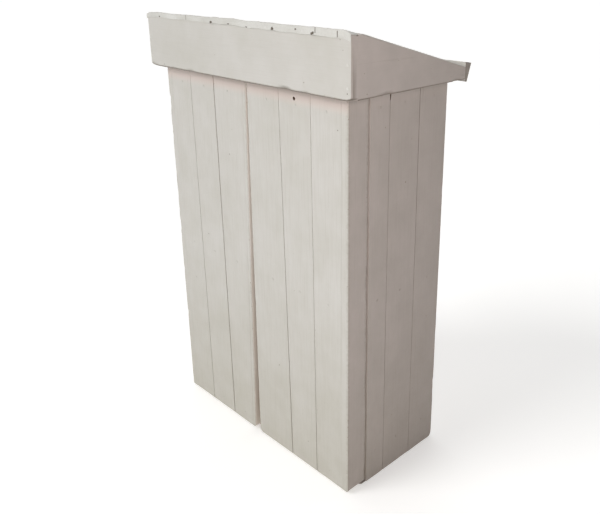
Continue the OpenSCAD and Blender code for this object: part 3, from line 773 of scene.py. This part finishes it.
for side, sign in (("right", 1), ("left", -1)):
    stile_low, stile_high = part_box(side + "_hinge_stile")
    outer = max(abs(stile_low.x), abs(stile_high.x))
    inner = min(abs(stile_low.x), abs(stile_high.x))
    face_y, back_y = stile_low.y, stile_high.y
    bottom, top = stile_low.z, stile_high.z
    joints = [(inner, inner), *LEAF_JOINTS[side]]

    def onto_leaf(u, v, s):
        return Vector((sign * u, face_y + v, s))

    bm = start_timber()
    for i in range(3):
        outsides = [joint - (0.15 * MM if i == 0 else 0) for joint in joints[i]]
        insides = LEAF_EDGES[side]
        if i < 2:
            insides = [joint + gap for joint, gap in zip(joints[i + 1], LEAF_GAPS[side][i])]
        arrises = ((1.0, 1.1, 2.4)[i] * MM, (0.25, 1.0, 1.0)[i] * MM)
        # the left leaf closes over the right one, and its edge is beaded
        bead = 9 * MM if i == 2 and side == "left" else 0.0
        sections = [board_section(near, outside, arrises, i > 0, i < 2, bead)
                    for near, outside in zip(insides, outsides)]
        start = ragged(bottom, 50 + i + 4 * sign)
        if i == 2:
            start = rubbed_corner(start, insides[0], 9 * MM if side == "right" else 4 * MM)
        sweep(bm, onto_leaf, *sections, start, lambda u: top, seed=51 + i + 4 * sign)
    boards = to_piece(bm, f"painted_{side}_door_boards", paint_doors)
    for x, y, z, radius, length, squeeze in LATCH_HOLE if side == "right" else ():
        bm = bmesh.new()
        bore(bm, (x * MM, face_y + y * MM, z * MM), "Y", radius * MM, length * MM, squeeze)
        subtract(boards, bm, bare_wood)
    spots = [(sign * x, z, radius) for x, z, radius in LEAF_DENTS[side]]
    subtract(boards, dents(spots, "Y", [face_y], 1.2 * MM, 0.6), old_primer if side == "right" else bare_wood)
    # the closing edge takes a lighter paint: painted light against the shade in the gap between the leaves
    limit = max(LEAF_EDGES[side]) + 1 * MM
    repaint(boards, closing_edge_lightening_paint, lambda centre, normal: normal.x * sign < -0.8 and centre.x * sign < limit)
    stand_for(boards, side + "_door_boards")

    # hinge stile, rounded behind about its pivot and bored for the two pins
    depth = back_y - face_y
    corners = [(0.0, 0.0), (outer - inner, 0.0), (outer - inner, depth), (0.0, depth)]
    section = outline(corners, [3.0 * MM, 0.25 * MM, 0.4 * MM, 7.9 * MM])
    bm = start_timber()
    start = rubbed_corner(ragged(bottom, 70 + sign), 0.0, 4 * MM)
    sweep(bm, lambda u, v, s: Vector((sign * (outer - u), face_y + v, s)),
          section, section, start, lambda u: top, seed=71 + sign, knocks=1.7 * MM)
    stile = to_piece(bm, f"painted_{side}_hinge_stile", paint_doors)
    bm = bmesh.new()
    for z in (bottom + PIVOT_DEPTH / 2 - 1 * MM, top - PIVOT_DEPTH / 2 + 1 * MM):
        bore(bm, (sign * PIVOT_X, PIVOT_Y, z), "Z", PIVOT_BORE, PIVOT_DEPTH + 2 * MM)
    subtract(stile, bm, bare_wood)
    # the stile's outer side takes the darker wall paint: painted shade
    repaint(stile, shaded_wall_paint, lambda centre, normal: normal.x * sign > 0.72)
    # the rounded back corner, turned into the joint with the wall, takes a lighter paint: painted light
    # against the joint's shade
    repaint(stile, joint_lightening_paint, lambda centre, normal: normal.y > 0.25)
    stand_for(stile, side + "_hinge_stile")

    # two straw slabs between the rails, each a row of bundles
    pad_low, pad_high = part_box(side + "_door_pad")
    bm = start_timber()
    for z0, z1 in ((bottom + RAIL_H, MID_RAIL_Z), (MID_RAIL_Z + RAIL_H, top - RAIL_H)):
        u0 = LEAF_EDGES[side][1] + CLOSING_STILE + (22 * MM if side == "left" else 3 * MM)
        width = (inner - 3 * MM - u0) / STRAW_BUNDLES
        ring = []
        for back in (0, 1):
            for i in range(STRAW_BUNDLES):
                for k in range(5):
                    across = (i + k / 5) * width
                    if back:
                        across = STRAW_BUNDLES * width - across
                    bulge = abs(math.sin(math.pi * k / 5)) * STRAW_BULGE
                    v = (pad_high.y - 3.2 * MM + bulge if back else pad_low.y + 3.2 * MM - bulge) - face_y
                    ring.append((u0 + across, v, 0.0, -1.0 if back else 1.0, 0.0))
        sweep(bm, onto_leaf, ring, ring, lambda u: z0 + 3 * MM, lambda u: z1 - 3 * MM,
              seed=90 + sign, wobble=0.5 * MM, pitch=20 * MM)
    pad = to_piece(bm, f"straw_slabs_in_{side}_door", straw, 50)
    stand_for(pad, side + "_door_pad")


# ----------------------------------------
# Roof timber. Thin boards on two battens, with a front board and skirts that telescope
#  over the body, and a bevelled eaves board behind. All of it is nailed; the front board, skirts and eaves
#  board are painted, the boards and battens left bare pine.

finish_node("roof_boards", pine_x)
finish_node("roof_battens", pine_y)
# the roof timber's paint darkens faces that point down: painted shade, with some dirt
paint_roof = oil_paint("oil_paint_on_roof_timber", streak_axis=0, foot="#C9C5BB", underside_shade=0.85, streaks=0.1)
# a darker copy of the paint for the skirts and the front board's ends, which face sideways: painted shade
shaded_skirt_paint = oil_paint("oil_paint_darkened_as_skirt_shade", fresh="#BBB0AA", aged="#AFA59F", streak_axis=1,
                        foot="#C9C5BB", underside_shade=0.85, streaks=0.1, rear_shade=0.42, wear=0.5)
front_low, front_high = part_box("roof_front_board")
skirt_low, skirt_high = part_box("roof_skirts")
eave_low, eave_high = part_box("roof_rear_fascia")


# where the front corners are beaten down and rubbed: distance from the middle, and width
BEATEN, RUBBED = (268 * MM, 17 * MM), (272 * MM, 13 * MM)


def roof_top(y):
    """Top of the roof timber at depth y."""
    return front_high.z - ROOF_SLOPE * (y - front_low.y)


def battered(x):
    """How far the front edge of the roof is beaten down at x: most at its two corners."""
    end = max(0.0, (abs(x) - BEATEN[0]) / BEATEN[1])
    return (4.4 * end * end + 0.7 * max(0.0, noise.noise(Vector((x * 17, 4.2, 0))) + 0.1)) * MM


bm = start_timber()
corners = [(front_low.y, front_low.z), (front_high.y, front_low.z),
           (front_high.y, roof_top(front_high.y)), (front_low.y, roof_top(front_low.y))]
section = outline(corners, [3.2 * MM, 1.0 * MM, 0.3 * MM, 0.6 * MM])
sweep(bm, lambda u, v, s: Vector((s, u, v)), section, section,
      lambda u: front_low.x, lambda u: front_high.x, seed=81, soften=2.4 * MM, knocks=1.3 * MM,
      share=lambda u, v: 1.0 if u < front_low.y + 6 * MM else 0.05)
for vert in bm.verts:
    if vert.co.z > front_high.z - 12 * MM:
        vert.co.z -= battered(vert.co.x)
    # the two lower corners are rubbed round
    outward = max(0.0, (abs(vert.co.x) - RUBBED[0]) / RUBBED[1])
    upward = max(0.0, 1 - (vert.co.z - front_low.z) / (11 * MM))
    vert.co.z += 4.5 * MM * outward ** 2 * upward
front_board = to_piece(bm, "painted_roof_front_board", paint_roof)
spots = ((262, 851, 1.1), (268, 836, 0.9), (180, 778, 1.2),
         (277, 772, 1.4), (-60, 800, 0.8), (-236, 766, 1.2))
subtract(front_board, dents(spots, "Y", [front_low.y], 0.8 * MM, 0.6), old_primer)
# the front board's two ends, facing sideways, take the darker skirt paint: painted shade
repaint(front_board, shaded_skirt_paint, lambda centre, normal: abs(normal.x) > 0.75)
stand_for(front_board, "roof_front_board")

bm = start_timber()
for sign in (1, -1):
    outside, inside = skirt_high.x, skirt_high.x - 15 * MM
    y0, y1 = skirt_low.y + 0.05 * MM, skirt_high.y
    sections = []
    for y in (y0, y1):
        corners = [(outside, skirt_low.z), (outside, roof_top(y)),
                   (inside, roof_top(y)), (inside, skirt_low.z)]
        sections.append(outline(corners, [3.2 * MM, 0.4 * MM, 0.3 * MM, 1.0 * MM]))
    sweep(bm, lambda u, v, s: Vector((sign * u, s, v)), *sections,
          lambda u: y0, lambda u: y1, seed=91 + sign, knocks=1.4 * MM, share=lambda u, v: 0.1)
skirts = to_piece(bm, "painted_roof_skirts", shaded_skirt_paint)
spots = ((-118, 800, 1.0), (-112, 768, 1.3), (-40, 812, 0.8), (44, 790, 0.8), (100, 770, 1.0))
subtract(skirts, dents(spots, "X", [skirt_high.x, -skirt_high.x], 0.8 * MM, 0.6), old_primer)
stand_for(skirts, "roof_skirts")

bm = start_timber()
corners = [(eave_low.y, eave_low.z + 1.5 * MM), (eave_low.y + 6 * MM, eave_low.z),
           (eave_low.y + 17 * MM, eave_high.z - 3 * MM), (eave_low.y, eave_high.z)]
section = outline(corners, [0.8 * MM] * 4)
sweep(bm, lambda u, v, s: Vector((s, u, v)), section, section,
      lambda u: eave_low.x, lambda u: eave_high.x, seed=95, knocks=1.5 * MM)
fascia = to_piece(bm, "painted_roof_rear_fascia", paint_roof)
# the eaves board's two ends, facing sideways, take a darker paint
darker_fascia_end_paint = oil_paint(
    "darker_paint_on_fascia_ends", fresh="#8D847C", aged="#7E756C", dust="#7A6F62", foot="#8F857C")
repaint(fascia, darker_fascia_end_paint, lambda centre, normal: abs(normal.x) > 0.6)
stand_for(fascia, "roof_rear_fascia")


# ----------------------------------------
# Roof sheet. Strips of thin galvanised sheet, lapped and painted with the boards, folded
# down over the front edge and nailed; the fold is dented and its corners have lifted.

# rust and dirt, with painted shade where the corners lift and in the holes
rust_and_painted_shade = oil_paint("rust_dirt_and_painted_shade_in_lifted_corners", fresh="#6A6257", aged="#544B40", dust="#4A4036")
paint_sheet = oil_paint("oil_paint_on_roof_sheet", fresh="#DADAD6", aged="#CBCAC4", dust="#9C9883",
                        chip="#54402F", streak_axis=1, foot="#EDEDE8")
sheet_low, sheet_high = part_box("roof_sheet")
# the sheet's thickness with its paint, and how far its face stands above the boards
SHEET_T, SHEET_RISE = 1.1 * MM, 1.25 * MM
# the strip that laps over its neighbours, the cuts in the fold, and the lifted corners
LAP = (-60.3 * MM, 5.2 * MM)
SEAMS = (-145.1 * MM, 107.6 * MM, 204.1 * MM, 257.4 * MM)
LIFTED = (107.6 * MM, 204.1 * MM, -66 * MM)
# rows of points up the fold, as shares of its height, then the bend: depth, height, rows
FOLD_SHARES = (0.0, 0.06, 0.12, 0.2, 0.28, 0.36, 0.44, 0.52, 0.6, 0.7, 0.8, 0.9)
BEND_Y, BEND_Z, BEND_ROWS = 1.6 * MM, 1.5 * MM, 4
TOP_ROWS, SHEET_COLUMNS = 26, 380
SHEET_SHIFT = 3.1


def ease(value, start, end):
    """0 before start, 1 after end, smooth between."""
    k = max(0.0, min(1.0, (value - start) / (end - start)))
    return k * k * (3 - 2 * k)


def lap_height(x):
    """1 on the strip that laps over its neighbours."""
    return ease(x, LAP[0] - 2 * MM, LAP[0] + 2 * MM) * (1 - ease(x, LAP[1] - 1.5 * MM, LAP[1] + 1.5 * MM))


def sheet_rows(x):
    """The sheet's outer face at x, from the fold's lower edge up and back to the eaves:
    (y, z, outward y, outward z, worn)."""
    face = sheet_low.y
    top = roof_top(front_low.y) + SHEET_RISE - battered(x) + 0.9 * MM * lap_height(x)
    top += (1.1 * MM * noise.noise(Vector((x * 38, 1.3, 0)))
            + 0.35 * MM * noise.noise(Vector((x * 120, 7.1, 0))))
    fold = (11.3 + 2.0 * x / (285 * MM)) * MM + 0.9 * MM * noise.noise(Vector((x * 60, 9.0, 0)))
    fold += 0.8 * MM * (abs(noise.noise(Vector((x * 260, 2.0, 0)))) > 0.42)
    out = 0.55 * MM * lap_height(x) + 0.35 * MM * (noise.noise(Vector((x * 55, 3.3, 0))) + 0.4)
    lift = sum(math.exp(-((x - spot) / (5 * MM)) ** 2) for spot in LIFTED)
    crease = sum(math.exp(-((x - spot) / (0.9 * MM)) ** 2) for spot in SEAMS) * 0.6 * MM
    rows = []
    for share in FOLD_SHARES:
        dent = 0.5 * MM * noise.noise(Vector((x * 70, share * 3, 5.5)))
        flare = lift * 2.4 * MM * (1 - share) ** 2
        rows.append((face - out - flare - dent * share + crease,
                     top - BEND_Z - (fold - BEND_Z) * (1 - share) + flare * 0.3,
                     -1.0, 0.0, 1.0 if share == 0 else (0.55 if share < 0.2 else 0.0)))
    for k in range(1, BEND_ROWS + 1):
        angle = k / BEND_ROWS * math.radians(74)
        rows.append((face - out + crease + BEND_Y * (1 - math.cos(angle)),
                     top - BEND_Z + BEND_Z * math.sin(angle), -math.cos(angle), math.sin(angle), 0.35))
    bend_y = rows[-1][0]
    start = bend_y + 3 * MM
    for k in range(TOP_ROWS + 1):
        y = start + (sheet_high.y - start) * k / TOP_ROWS
        near = 1 - ease(y, start, start + 22 * MM)
        wave = 0.35 * MM * noise.noise(Vector((x * 14, y * 14, 0.7)))
        plain = roof_top(y) + SHEET_RISE + wave + 0.5 * MM * lap_height(x)
        bent = top - ROOF_SLOPE * (y - bend_y)
        rows.append((y, plain * (1 - near) + bent * near, 0.0, 1.0, 0.5 if k == TOP_ROWS else 0.0))
    return rows


bm = start_timber()
edge_layer = bm.verts.layers.float["edge"]
board_layer = bm.verts.layers.float["board"]
shell = []
for i in range(SHEET_COLUMNS + 1):
    x = sheet_low.x + (sheet_high.x - sheet_low.x) * i / SHEET_COLUMNS
    rows = sheet_rows(x)
    faces = []
    for thick in (0.0, SHEET_T):
        line = []
        for y, z, out_y, out_z, worn in rows:
            vert = bm.verts.new((x, y - out_y * thick, z - out_z * thick))
            vert[edge_layer] = max(worn, 0.8 if i in (0, SHEET_COLUMNS) else 0.0)
            vert[board_layer] = SHEET_SHIFT
            line.append(vert)
        faces.append(line)
    shell.append(faces)
for i in range(SHEET_COLUMNS):
    a, b = shell[i], shell[i + 1]
    last = len(a[0]) - 1
    for j in range(last):
        bm.faces.new((a[0][j], a[0][j + 1], b[0][j + 1], b[0][j]))
        bm.faces.new((a[1][j], b[1][j], b[1][j + 1], a[1][j + 1]))
    bm.faces.new((a[0][0], b[0][0], b[1][0], a[1][0]))
    bm.faces.new((a[0][last], a[1][last], b[1][last], b[0][last]))
for column in (shell[0], shell[-1]):
    for j in range(len(column[0]) - 1):
        bm.faces.new((column[0][j], column[1][j], column[1][j + 1], column[0][j + 1]))
sheet = to_piece(bm, "painted_roof_sheet", paint_sheet)
# the dark spots in the fold, painted shade under the lifted corners and in the nail holes and notches, with
# rust and dirt: x, height above the fold's lower edge, half sizes
DARK_SPOTS = ((107.6, 2.0, 3.2, 2.6), (164, 6.0, 1.8, 1.6), (203.5, 2.4, 4.2, 2.4), (208.9, 7.5, 0.8, 5.0),
          (-145.1, 5.0, 0.8, 5.0), (-62.5, 2.0, 3.0, 1.8), (-236, 2.0, 2.0, 1.4), (257.4, 5.5, 0.7, 5.0),
          (38, 1.2, 2.2, 1.0), (-12, 1.2, 2.6, 1.0))


def column_at(x):
    """The sheet's column of points nearest to x."""
    return round((x - sheet_low.x) / (sheet_high.x - sheet_low.x) * SHEET_COLUMNS)


fold_foot = {}
for vert in (v for v in sheet.data.vertices if v.co.y < sheet_low.y + 3 * MM):
    column = column_at(vert.co.x)
    fold_foot[column] = min(fold_foot.get(column, math.inf), vert.co.z)


def in_dark_spot(centre, normal):
    """True on the fold's outer face inside one of the dark spots of painted shade, rust and dirt."""
    rise = centre.z - fold_foot.get(column_at(centre.x), 0.0)
    return normal.y < -0.6 and any(
        ((centre.x - x * MM) / (wide * MM)) ** 2 + ((rise - up * MM) / (tall * MM)) ** 2 < 1
        for x, up, wide, tall in DARK_SPOTS)


repaint(sheet, rust_and_painted_shade, in_dark_spot)
stand_for(sheet, "roof_sheet")


# ----------------------------------------
# Entrance. A planed strip slides behind two rebated guides to narrow or close the flight
# hole, above a small alighting board.

weathered = planed_pine("weathered_pine", 0, pale="#A79A86", dark="#7B6D5A", stain="#5E5344")
for node in ("alighting_board", "entrance_guides", "entrance_slide"):
    finish_node(node, weathered)
finish_node("entrance_knob", brass)


# ----------------------------------------
# Nails. Round wire nails, their heads painted over with everything else.

painted_steel = oil_paint("oil_paint_on_nail_heads", wear=0.2)
sheet_nails = oil_paint("oil_paint_on_sheet_nails", fresh="#DDDDDA", aged="#CDCCC5", wear=0.3, foot="#EDEDE8")
for node in ("left_door_nails", "right_door_nails"):
    finish_node(node, painted_steel)
# the wall nails take the darker wall paint: painted shade
finish_node("wall_nails", shaded_wall_paint)
finish_node("roof_nails", sheet_nails)


# ----------------------------------------
# Studio: white paper underfoot, a broad soft key light from the front left, and a weak warm
# fill from the right. The camera stands off the front right corner, just above the roof.

def background_paper(name):
    """Matt white paper that glows a little, as if it were lit from behind."""
    material, tree, shader = new_material(name)
    feed(tree, shader, {
        "Base Color": blend(tree, lumps(tree, in_place(tree), 4 * MM, 4.0), "#F7F7F6", "#F2F2F0"),
        "Roughness": 0.9, "Emission Color": linear("#FFFFFF"), "Emission Strength": 0.37})
    return material


bm = bmesh.new()
bmesh.ops.create_grid(bm, x_segments=2, y_segments=2, size=60.0)
to_piece(bm, "studio_floor", background_paper("background_paper"))


def lamp(name, kind, place, aim, power, colour, **settings):
    """A light at a point, turned towards another."""
    data = bpy.data.lights.new(name, kind)
    data.energy = power
    data.color = linear(colour)[:3]
    for key, value in settings.items():
        setattr(data, key, value)
    holder = bpy.data.objects.new(name, data)
    bpy.context.scene.collection.objects.link(holder)
    holder.location = place
    holder.rotation_euler = (Vector(aim) - Vector(place)).to_track_quat("-Z", "Y").to_euler()


middle = (CAD_BOX[0] + CAD_BOX[1]) / 2
lamp("key", "SUN", (-1.2, -2.6, 2.6), middle, 1.42, "#FFFEFD", angle=math.radians(32))
lamp("fill", "AREA", (1.3, -1.0, 1.1), middle, 5.5, "#FFF4F0", shape="SQUARE", size=0.7)

world = bpy.data.worlds.new("studio")
world.use_nodes = True
bpy.context.scene.world = world
sky_tree = world.node_tree
toward = add(sky_tree, "TexCoord")
# the studio's far walls, behind and to the left of the hive, are lit more than the near ones
facing = add(sky_tree, "VectorMath", {
    0: toward.outputs["Generated"], 1: (-0.7, 0.7, 0.0)}, operation="DOT_PRODUCT")
feed(sky_tree, sky_tree.nodes["Background"], {
    "Color": linear("#FFFFFF"), "Strength": ramp(sky_tree, facing.outputs["Value"], -0.6, 0.8)})
bpy.context.scene.view_settings.view_transform = "Standard"

# Where the viewer stands, in metres, then the turn to the left, the tilt down and the roll in degrees
VIEW_PLACE = (1.012, -0.893, 0.9665)
VIEW_TURN, VIEW_DOWN, VIEW_ROLL = 45.648, 19.568, 0.305
# the lens in millimetres, and how far it is shifted across and up
VIEW_LENS, VIEW_SHIFT = 42.04, (-0.0580, -0.0855)
camera_data = bpy.data.cameras.new("view")
camera_data.sensor_width = 36.0
camera_data.lens = VIEW_LENS
camera_data.shift_x, camera_data.shift_y = VIEW_SHIFT
camera = bpy.data.objects.new("view", camera_data)
bpy.context.scene.collection.objects.link(camera)
camera.location = VIEW_PLACE
camera.rotation_mode = "QUATERNION"
camera.rotation_quaternion = (
    Matrix.Rotation(math.radians(VIEW_TURN), 3, "Z")
    @ Matrix.Rotation(math.radians(90 - VIEW_DOWN), 3, "X")
    @ Matrix.Rotation(math.radians(-VIEW_ROLL), 3, "Z")).to_quaternion()
bpy.context.scene.camera = camera
